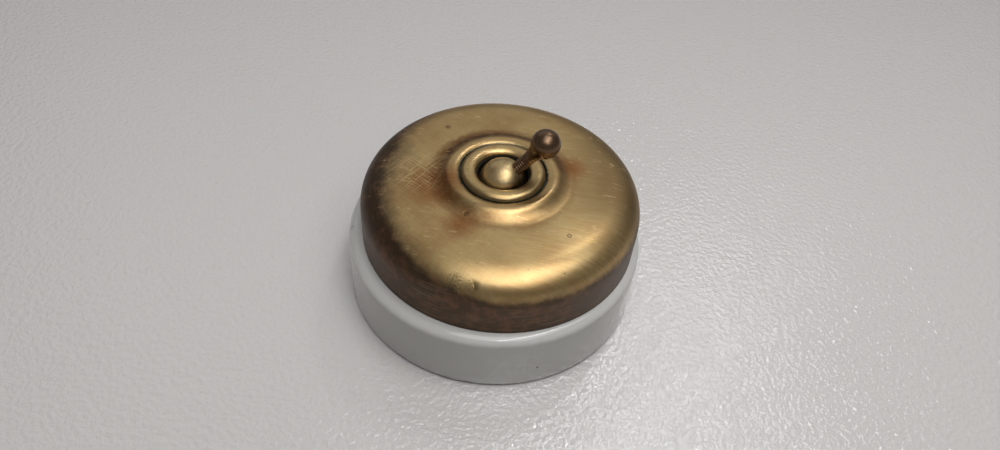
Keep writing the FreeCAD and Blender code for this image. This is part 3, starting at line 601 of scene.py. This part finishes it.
def table_finish():
    """Pale semi-gloss table top with a fine orange-peel skin."""
    hue = tints()
    skin = Finish("table_top")
    broad = skin.noise(0.02, 2.0)
    peel = skin.noise(0.85, 3.0, 0.5)
    colour = skin.mix(broad * 0.10, hue.table, (0.70, 0.69, 0.695, 1.0))
    relief = skin.bump(peel, 0.27, 1.0)
    return skin.surface(Base_Color=colour, Roughness=0.08, Specular_IOR_Level=0.7, IOR=2.0, Normal=relief)


# ---------------------------------------------------------------- modelling helpers
def pick_nothing():
    """Object mode with nothing selected."""
    if bpy.context.mode != "OBJECT":
        bpy.ops.object.mode_set(mode="OBJECT")
    bpy.ops.object.select_all(action="DESELECT")


def settle(piece):
    """Leave the piece's place in its mesh and its object at the origin."""
    pick_nothing()
    bpy.context.view_layer.objects.active = piece
    piece.select_set(True)
    bpy.ops.object.transform_apply(location=True, rotation=True, scale=True)


def arc(centre_r, centre_z, reach_r, reach_z, start, end, count):
    """Points of an elliptic arc, angles in degrees from the radial direction."""
    points = []
    for step in range(count + 1):
        angle = math.radians(start + (end - start) * step / count)
        points.append((centre_r + reach_r * math.cos(angle), centre_z + reach_z * math.sin(angle)))
    return points


def sweep(first, lean_out, lean_in, last, count):
    """Points of a cubic curve from first to last, pulled by two handles."""
    points = []
    for step in range(count + 1):
        share = step / count
        rest = 1.0 - share
        weights = (rest ** 3, 3 * rest * rest * share, 3 * rest * share * share, share ** 3)
        knots = (first, lean_out, lean_in, last)
        points.append(tuple(sum(w * k[i] for w, k in zip(weights, knots)) for i in (0, 1)))
    return points


def turned_piece(name, outline, steps, centre_x=0.0):
    """Turn a closed (radius, height) outline in millimetres round a vertical axis."""
    pick_nothing()
    places = [Vector((centre_x + across, 0.0, up)) * MM for across, up in outline]
    bpy.ops.mesh.primitive_plane_add(size=MM, location=places[0])
    piece = bpy.context.object
    piece.name = name
    settle(piece)
    bpy.ops.object.mode_set(mode="EDIT")
    bpy.ops.mesh.select_mode(type="VERT")
    bpy.ops.mesh.select_all(action="SELECT")
    bpy.ops.mesh.merge(type="CENTER")
    for before, after in zip(places, places[1:]):
        bpy.ops.mesh.extrude_region_move(TRANSFORM_OT_translate={"value": after - before})
    bpy.ops.mesh.select_all(action="SELECT")
    bpy.ops.mesh.spin(steps=steps, angle=2 * math.pi, center=(centre_x * MM, 0.0, 0.0),
                      axis=(0.0, 0.0, 1.0))
    bpy.ops.mesh.select_all(action="SELECT")
    bpy.ops.mesh.remove_doubles(threshold=0.002 * MM)
    bpy.ops.mesh.normals_make_consistent(inside=False)
    bpy.ops.object.mode_set(mode="OBJECT")
    return piece


def tool_rod(radius, start, end, x, y, sides=64):
    """Upright cylinder used as a cutter."""
    pick_nothing()
    bpy.ops.mesh.primitive_cylinder_add(vertices=sides, radius=radius * MM, depth=(end - start) * MM,
                                        location=(x * MM, y * MM, (start + end) / 2 * MM))
    return bpy.context.object


def tool_cone(lower, upper, start, end, x, y):
    """Upright frustum used as a cutter."""
    pick_nothing()
    bpy.ops.mesh.primitive_cone_add(vertices=64, radius1=lower * MM, radius2=upper * MM,
                                    depth=(end - start) * MM,
                                    location=(x * MM, y * MM, (start + end) / 2 * MM))
    return bpy.context.object


def tool_box(lowest, highest, rounding=0.8):
    """Box with rounded upright edges used as a cutter."""
    pick_nothing()
    middle = (lowest + highest) / 2 * MM
    bpy.ops.mesh.primitive_cube_add(size=1.0, location=middle)
    block = bpy.context.object
    block.scale = (highest - lowest) * MM
    settle(block)
    bpy.ops.object.mode_set(mode="EDIT")
    bpy.ops.mesh.select_mode(type="EDGE")
    bpy.ops.mesh.select_all(action="DESELECT")
    bpy.ops.object.mode_set(mode="OBJECT")
    for edge in block.data.edges:
        first, last = (block.data.vertices[index].co for index in edge.vertices)
        edge.select = abs(first.z - last.z) > 0.5 * (highest.z - lowest.z) * MM
    bpy.ops.object.mode_set(mode="EDIT")
    bpy.ops.mesh.bevel(offset=rounding * MM, segments=5, affect="EDGES")
    bpy.ops.object.mode_set(mode="OBJECT")
    return block


def combined(piece, others, operation):
    """Boolean of a piece with others, applied; the others are used up."""
    for other in others:
        settle(other)
    if len(others) > 1:
        pick_nothing()
        for other in others:
            other.select_set(True)
        bpy.context.view_layer.objects.active = others[0]
        bpy.ops.object.join()
    tool = others[0]
    pick_nothing()
    bpy.context.view_layer.objects.active = piece
    piece.select_set(True)
    change = piece.modifiers.new("combined", "BOOLEAN")
    change.operation = operation
    change.solver = "EXACT"
    change.use_self = True
    change.object = tool
    bpy.ops.object.modifier_apply(modifier=change.name)
    bpy.data.objects.remove(tool)


def finished(piece, finish, body, nodes, angle=32.0):
    """Smooth shading, material, body, material slot and the frame nodes that it stands for."""
    settle(piece)
    bpy.ops.object.shade_smooth_by_angle(angle=math.radians(angle))
    piece.data.materials.clear()
    piece.data.materials.append(finish)
    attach(piece, body)
    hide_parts(*nodes)


# ---------------------------------------------------------------- outlines
# share of the way from the crest of the bead to the valley where bulge turns into hollow
BEAD_SHARE = 0.34
# how far the lip of the nut seat lies under the crest of the bead
SEAT_DROP = 0.45


def crown_height(reach):
    """Height of the top of the cover at a radius, from the seat of the nut to the shoulder."""
    size = sizes()
    if reach < size.bead_radius:
        inward = (size.bead_radius - reach) / (size.bead_radius - size.seat_radius)
        return size.bead_height - SEAT_DROP * inward * inward
    if reach < size.valley_radius:
        share = (reach - size.bead_radius) / (size.valley_radius - size.bead_radius)
        rise = size.bead_height - size.valley_height
        if share < BEAD_SHARE:
            return size.bead_height - rise * share * share / BEAD_SHARE
        return size.valley_height + rise * (1.0 - share) ** 2 / (1.0 - BEAD_SHARE)
    share = (reach - size.valley_radius) / (size.crown_edge - size.valley_radius)
    drop = size.valley_height - size.crown_edge_height
    return size.valley_height - drop * share + drop * share * (1.0 - share)


def crown_run(start, end, count, sunk=0.0):
    """Points along the top of the cover from one radius to another, without the first."""
    reaches = [start + (end - start) * step / count for step in range(1, count + 1)]
    return [(reach, crown_height(reach) - sunk) for reach in reaches]


def cover_outline():
    """Closed outline of the pressed shell, outside first."""
    size = sizes()
    wall = size.cover_wall
    outside = size.cover_radius
    inside = outside - wall
    chamfer = 0.18
    # the shoulder is one curve: its handles point up the wall, and out and down from the crown
    meet = size.crown_edge - 0.8
    meet_z = crown_height(meet)
    up_pull, out_pull, down_pull = 4.15, 4.1, 0.303
    up_pull_inside, out_pull_inside, down_pull_inside = 3.7, 3.6, 0.266
    points = [(outside - chamfer, size.ledge), (outside, size.ledge + chamfer)]
    points += [(outside, size.ledge + 2.0), (outside, size.ledge + 4.5)]
    points += sweep((outside, size.cover_straight), (outside, size.cover_straight + up_pull),
                    (meet + out_pull, meet_z - down_pull), (meet, meet_z), 20)
    points += crown_run(meet, size.valley_radius, 14)
    points += crown_run(size.valley_radius, size.seat_radius, 24)
    lip_z = crown_height(size.seat_radius)
    hole = size.skirt_radius + 0.2
    under_lip = size.seat_radius + wall
    points += [(size.seat_radius, lip_z - 0.3), (size.seat_radius, size.seat_height),
               (hole, size.seat_height), (hole, size.seat_height - wall),
               (under_lip, size.seat_height - wall), (under_lip, lip_z - wall)]
    points += crown_run(under_lip, meet, 16, wall)
    points += sweep((meet, meet_z - wall), (meet + out_pull_inside, meet_z - wall - down_pull_inside),
                    (inside, size.cover_straight + up_pull_inside), (inside, size.cover_straight), 16)[1:]
    points += [(inside, size.ledge + 0.1), (inside + 0.1, size.ledge)]
    return points + points[:1]


def nut_outline():
    """Closed outline of the ring nut and its skirt, which has small chamfers at its foot."""
    size = sizes()
    face = 29.4
    shelf = 29.06
    bore = size.skirt_radius - 0.6
    wide, tall = 0.12, 0.15
    points = [(size.nut_radius - 0.1, size.seat_height), (size.nut_radius, size.seat_height + 0.1)]
    points += arc(size.nut_crest, face, size.nut_radius - size.nut_crest,
                  size.nut_height - face, 0, 90, 12)
    points += arc(size.nut_crest, face + 0.25, size.nut_crest - size.nut_hole,
                  size.nut_height - face - 0.25, 90, 180, 12)[1:]
    points += [(size.nut_hole, shelf), (bore, shelf), (bore, size.skirt_foot + tall),
               (bore + wide, size.skirt_foot), (size.skirt_radius - wide, size.skirt_foot),
               (size.skirt_radius, size.skirt_foot + tall), (size.skirt_radius, size.seat_height)]
    return points + points[:1]


def base_outline():
    """Closed outline of the porcelain without its raised middle."""
    size = sizes()
    top_radius = size.base_radius - size.base_taper
    edge = size.base_edge
    corner = 0.8
    lip = 0.4
    points = [(0.0, size.recess_depth), (size.recess_radius - 1.2, size.recess_depth)]
    points += arc(size.recess_radius - corner, size.recess_depth - corner, corner, corner, 90, 0, 6)
    points += arc(size.recess_radius + lip, lip, lip, lip, 180, 270, 5)
    foot = size.foot_round
    points += arc(size.base_radius - foot, foot, foot, foot, 270, 360, 8)
    points += [(size.base_radius - size.base_taper * share, foot + (size.ledge - edge - foot) * share)
               for share in (0.25, 0.5, 0.75)]
    points += arc(top_radius - edge, size.ledge - edge, edge, edge, 0, 90, 14)
    points += [(0.0, size.ledge)]
    return points


def lever_outline():
    """Outline of the lever above the toggle axis, with close rings where the thread is."""
    size = sizes()
    start = 2.0
    stop = size.neck_start
    rings_per_turn = 8
    rings = int((stop - start) / (size.thread_pitch / rings_per_turn))
    points = [(0.0, start)]
    points += [(size.stem_radius, start + (stop - start) * step / rings) for step in range(rings + 1)]
    neck = size.neck_radius
    join = size.ball_distance - math.sqrt(size.ball_radius ** 2 - neck ** 2)
    points += sweep(points[-1], (size.stem_radius, stop + 1.1), (neck - 0.5, join - 0.9),
                    (neck, join), 12)[1:]
    first = math.degrees(math.asin((join - size.ball_distance) / size.ball_radius))
    points += arc(0.0, size.ball_distance, size.ball_radius, size.ball_radius, first, 90, 30)[1:]
    return points


# ---------------------------------------------------------------- pieces
def cut_thread(piece):
    """Sink a helical groove into the stem of the upright lever."""
    size = sizes()
    core = 0.5
    run_out = 0.6
    for vertex in piece.data.vertices:
        across = math.hypot(vertex.co.x, vertex.co.y) / MM
        up = vertex.co.z / MM
        if across < core or up > size.neck_start:
            continue
        turn = up / size.thread_pitch - math.atan2(vertex.co.y, vertex.co.x) / (2 * math.pi)
        groove = 0.5 - 0.5 * math.cos(2 * math.pi * turn)
        fade = min(1.0, (size.neck_start - up) / run_out)
        share = 1.0 - size.thread_depth * groove * fade / across
        vertex.co.x *= share
        vertex.co.y *= share


def tip_over(piece):
    """Tilt an upright toggle piece and lift it to its pivot."""
    piece.rotation_euler = (0.0, LEAN, 0.0)
    piece.location = AXIS
    settle(piece)


class SWITCH_OT_base(bpy.types.Operator):
    """Make the glazed porcelain base with its wells and holes"""

    bl_idname = "switch.base"
    bl_label = "Porcelain base"

    # radii of the bores, in millimetres
    screw_bore = 1.45
    bolt_bore = 1.7
    cable_bore = 2.3
    wall_bore = 2.1
    # countersinks: radius at the mouth, and depth
    screw_head = 2.6
    screw_head_depth = 1.3
    wall_head = 3.6
    wall_head_depth = 2.4
    # wells: where they start and end along X from the toggle axis, and half their width
    rocker_end = 11.4
    rocker_half_width = 5.9
    contact_start = 3.4
    contact_end = 12.3
    terminal_start = 11.8
    # room round the pieces, and how far the cutters pass the faces
    play = 0.3
    outer_play = 0.4
    overrun = 1.0
    # the rest
    strip_thickness = 0.7
    nut_across_flats = 5.8
    wall_place = 19.0

    def execute(self, context):
        """Turn the body, add the raised middle, cut the holes."""
        size = sizes()
        base = turned_piece("glazed_base", base_outline(), 256)
        buried = size.recess_depth + 2.0
        round_edge = arc(size.spigot_radius - 0.5, size.spigot_top - 0.5, 0.5, 0.5, 0, 90, 5)
        outline = [(0.0, buried), (size.spigot_radius, buried)] + round_edge + [(0.0, size.spigot_top)]
        middle = turned_piece("raised_middle", outline, 192, CENTRE_X)
        combined(base, [middle], "UNION")
        combined(base, self.tools(size), "DIFFERENCE")
        finished(base, glaze_finish(), "base", ["porcelain_base"], 28.0)
        return {"FINISHED"}

    def tools(self, size):
        """Cutters for the wells and holes, placed by the pieces that sit in them."""
        above = size.spigot_top + self.overrun
        below = -self.overrun
        wide = high("moving_contact").y + 2 * self.play
        leaf_floor = low("fixed_contact_front").z - self.play
        tools = [
            tool_box(Vector((CENTRE_X - self.rocker_end, -self.rocker_half_width, low("rocker_bracket").z)),
                     Vector((CENTRE_X + self.rocker_end, self.rocker_half_width, above))),
            tool_box(Vector((CENTRE_X + self.contact_start, -wide, leaf_floor)),
                     Vector((CENTRE_X + self.contact_end, wide, above)), 0.5),
            tool_rod(self.screw_bore, below, above, CENTRE_X, 0.0),
            self.head_tool(size, CENTRE_X, 0.0),
        ]
        for side in ("front", "back"):
            block_low = low("terminal_block_" + side)
            block_high = high("terminal_block_" + side)
            floor = high("fixed_contact_" + side).z - self.strip_thickness
            lowest = Vector((CENTRE_X + self.terminal_start, block_low.y - self.play, floor))
            highest = Vector((block_high.x + self.outer_play, block_high.y + self.play, above))
            tools.append(tool_box(lowest, highest))
            wire = next(m for m in frame["record"]["mounts"] if m["name"] == "wire_" + side)["pos_m"]
            tools.append(tool_rod(self.cable_bore, below, above, wire[0] / MM, wire[1] / MM))
            screw = (low("terminal_screw_" + side) + high("terminal_screw_" + side)) / 2
            tools.append(tool_rod(self.screw_bore, below, above, screw.x, screw.y, 48))
            tools.append(self.head_tool(size, screw.x, screw.y))
            nut = (low("bridge_nut_" + side) + high("bridge_nut_" + side)) / 2
            tools.append(tool_rod(self.bolt_bore, below, above, nut.x, nut.y, 48))
            hexagon = tool_rod(self.nut_across_flats / math.sqrt(3), below,
                               high("bridge_nut_" + side).z, nut.x, nut.y, 6)
            hexagon.rotation_euler = (0.0, 0.0, math.radians(30))
            tools.append(hexagon)
        flare = (self.wall_head - self.wall_bore) / self.wall_head_depth
        for across in (-self.wall_place, self.wall_place):
            tools.append(tool_rod(self.wall_bore, below, above, across, 0.0))
            tools.append(tool_cone(self.wall_bore, self.wall_head + flare * self.overrun,
                                   size.spigot_top - self.wall_head_depth, above, across, 0.0))
        return tools

    def head_tool(self, size, x, y):
        """Cutter for a countersunk head in the hollow of the underside."""
        return tool_cone(self.screw_head, self.screw_bore, size.recess_depth,
                         size.recess_depth + self.screw_head_depth, x, y)


class SWITCH_OT_cover(bpy.types.Operator):
    """Make the pressed brass cover with its bead"""

    bl_idname = "switch.cover"
    bl_label = "Brass cover"

    def execute(self, context):
        """Turn the shell and roughen the edge of the nut seat."""
        size = sizes()
        cover = turned_piece("pressed_cover", cover_outline(), 288, CENTRE_X)
        lip_width = 0.45
        outermost = size.seat_radius + lip_width
        for vertex in cover.data.vertices:
            away = Vector((vertex.co.x - AXIS.x, vertex.co.y, 0.0))
            reach = away.length / MM
            if reach > outermost or vertex.co.z / MM < size.seat_height - 0.1:
                continue
            if reach < size.seat_radius - 0.1:
                continue
            around = away.normalized()
            wear = 0.10 + noise.noise(around * 3.0) * 0.12 + noise.noise(around * 11.0) * 0.10
            wear += noise.noise(around * 34.0) * 0.05
            wear = min(max(wear, 0.0), 0.34) * (outermost - reach) / lip_width
            vertex.co += around * wear * MM
        finished(cover, cover_finish(), "base", ["brass_cover"])
        return {"FINISHED"}


class SWITCH_OT_nut(bpy.types.Operator):
    """Make the half-round ring nut"""

    bl_idname = "switch.nut"
    bl_label = "Ring nut"

    def execute(self, context):
        """Turn the nut."""
        nut = turned_piece("half_round_nut", nut_outline(), 160, CENTRE_X)
        finished(nut, nut_finish(), "base", ["ring_nut"])
        return {"FINISHED"}


class SWITCH_OT_toggle(bpy.types.Operator):
    """Make the dome and the threaded lever with its ball"""

    bl_idname = "switch.toggle"
    bl_label = "Toggle"

    def execute(self, context):
        """Turn both pieces upright, cut the thread, then tip them over."""
        size = sizes()
        tail = 2.0
        bore = 1.25
        bore_top = -2.4
        tail_end = -9.0
        meet = -math.degrees(math.acos(tail / size.dome_radius))
        outline = [(0.0, bore_top), (bore, bore_top), (bore, tail_end + 0.1), (bore + 0.1, tail_end),
                   (tail - 0.15, tail_end), (tail, tail_end + 0.15)]
        outline += arc(0.0, 0.0, size.dome_radius, size.dome_radius, meet, 90, 40)
        dome = turned_piece("toggle_dome", outline, 128)
        tip_over(dome)
        finished(dome, dome_finish(), "toggle", ["dolly"])
        lever = turned_piece("ball_lever", lever_outline(), 64)
        cut_thread(lever)
        tip_over(lever)
        finished(lever, lever_finish(), "toggle", ["toggle_lever"], 50.0)
        return {"FINISHED"}


class SWITCH_OT_works(bpy.types.Operator):
    """Give the pieces inside the switch their finishes"""

    bl_idname = "switch.works"
    bl_label = "Works"

    def execute(self, context):
        """One finish for each kind of metal or fibre."""
        finishes = {
            "works_brass": works_finish(),
            "spring_steel": steel_finish(),
            "vulcanised_fibre": fibre_finish(),
            "fibre_paper": lining_finish(),
        }
        for entry in frame["record"]["subparts"]:
            finish = finishes.get(entry["material_slot"])
            if finish:
                node = frame["nodes"][entry["node"]]
                for slot in node.material_slots:
                    slot.material = finish
        collar = collar_finish()
        for slot in frame["nodes"]["threaded_collar"].material_slots:
            slot.material = collar
        return {"FINISHED"}


class SWITCH_OT_stage(bpy.types.Operator):
    """Lay the table, hang the lights and place the camera"""

    bl_idname = "switch.stage"
    bl_label = "Stage"

    def execute(self, context):
        """Table, lights, camera."""
        self.table()
        self.lights()
        self.camera()
        context.scene.view_settings.view_transform = "Standard"
        return {"FINISHED"}

    def table(self):
        """Plain pale table top, a hair below zero so that the foot doesn't lie in its plane."""
        pick_nothing()
        bpy.ops.mesh.primitive_plane_add(size=3.0, location=(0.0, 0.0, -0.05 * MM))
        table = bpy.context.object
        table.name = "table_top"
        table.data.materials.append(table_finish())

    def lamp(self, name, direction, distance, wide, tall, power, along):
        """Area light that faces the switch, its long side along a direction."""
        pick_nothing()
        bpy.ops.object.light_add(type="AREA")
        light = bpy.context.object
        light.name = name
        light.data.shape = "RECTANGLE"
        light.data.size = wide
        light.data.size_y = tall
        light.data.energy = power
        back = Vector(direction).normalized()
        up = (Vector(along) - back * Vector(along).dot(back)).normalized()
        light.matrix_world = frame_matrix(up.cross(back), up, back, back * distance)

    def lights(self):
        """Dim warm room, a near softbox, a long tube, a small far lamp and a broad panel behind."""
        world = bpy.data.worlds.new("room")
        bpy.context.scene.world = world
        world.use_nodes = True
        background = world.node_tree.nodes["Background"]
        background.inputs["Color"].default_value = (1.0, 0.97, 0.94, 1.0)
        background.inputs["Strength"].default_value = 0.16
        self.lamp("softbox", (0.17, -0.26, 0.95), distance=0.36, wide=0.28, tall=0.36, power=0.54,
                  along=(0.25, 1.0, 0.0))
        self.lamp("tube", (0.23, -0.25, 0.95), distance=0.92, wide=0.06, tall=0.80, power=1.05,
                  along=(0.30, 1.0, 0.2))
        self.lamp("far_lamp", (0.27, 0.50, 0.82), distance=0.90, wide=0.07, tall=0.11, power=0.34,
                  along=(0.0, 1.0, 0.0))
        self.lamp("back_panel", (0.0, 0.74, 0.67), distance=1.5, wide=2.6, tall=1.3, power=2.8,
                  along=(0.0, -0.67, 0.74))

    def camera(self):
        """Camera in front and above, a little rolled."""
        elevation = math.radians(45.92)
        roll = math.radians(5.02)
        distance = 174.1
        aside = 1.15
        raised = 9.80
        back = Vector((0.0, -math.cos(elevation), math.sin(elevation)))
        level = Vector((1.0, 0.0, 0.0))
        rise = Vector((0.0, math.sin(elevation), math.cos(elevation)))
        right = level * math.cos(roll) + rise * math.sin(roll)
        up = rise * math.cos(roll) - level * math.sin(roll)
        place = Vector((CENTRE_X, 0.0, 0.0)) + back * distance + right * aside + up * raised
        pick_nothing()
        bpy.ops.object.camera_add()
        camera = bpy.context.object
        camera.name = "view_camera"
        camera.matrix_world = frame_matrix(right, up, back, place * MM)
        camera.data.sensor_width = 36.0
        camera.data.lens = 27.04
        camera.data.clip_start = 0.005
        bpy.context.scene.camera = camera


def frame_matrix(x_axis, y_axis, z_axis, place):
    """World matrix from three axes and a place."""
    turn = Matrix((x_axis, y_axis, z_axis)).transposed().to_4x4()
    return Matrix.Translation(place) @ turn


class SWITCH_PT_panel(bpy.types.Panel):
    """Sidebar panel with the sizes, the colours and one button for each group"""

    bl_idname = "SWITCH_PT_panel"
    bl_label = "Tumbler switch"
    bl_space_type = "VIEW_3D"
    bl_region_type = "UI"
    bl_category = "Switch"

    def draw(self, context):
        """List the buttons, then the properties."""
        for kind in OPERATORS:
            self.layout.operator(kind.bl_idname)
        for group in (context.scene.switch_sizes, context.scene.switch_tints):
            column = self.layout.column()
            for name in group.__annotations__:
                column.prop(group, name)


OPERATORS = (SWITCH_OT_base, SWITCH_OT_cover, SWITCH_OT_nut, SWITCH_OT_toggle, SWITCH_OT_works,
             SWITCH_OT_stage)
CLASSES = (SwitchSizes, SwitchTints) + OPERATORS + (SWITCH_PT_panel,)


def register():
    """Register the classes and hang the properties on the scene."""
    for kind in CLASSES:
        bpy.utils.register_class(kind)
    bpy.types.Scene.switch_sizes = bpy.props.PointerProperty(type=SwitchSizes)
    bpy.types.Scene.switch_tints = bpy.props.PointerProperty(type=SwitchTints)


def unregister():
    """Take the properties and classes away again."""
    del bpy.types.Scene.switch_tints
    del bpy.types.Scene.switch_sizes
    for kind in reversed(CLASSES):
        bpy.utils.unregister_class(kind)


def main():
    """Register the classes, then make every group in order."""
    register()
    bpy.ops.switch.base()
    bpy.ops.switch.cover()
    bpy.ops.switch.nut()
    bpy.ops.switch.toggle()
    bpy.ops.switch.works()
    bpy.ops.switch.stage()


if __name__ == "__main__":
    main()
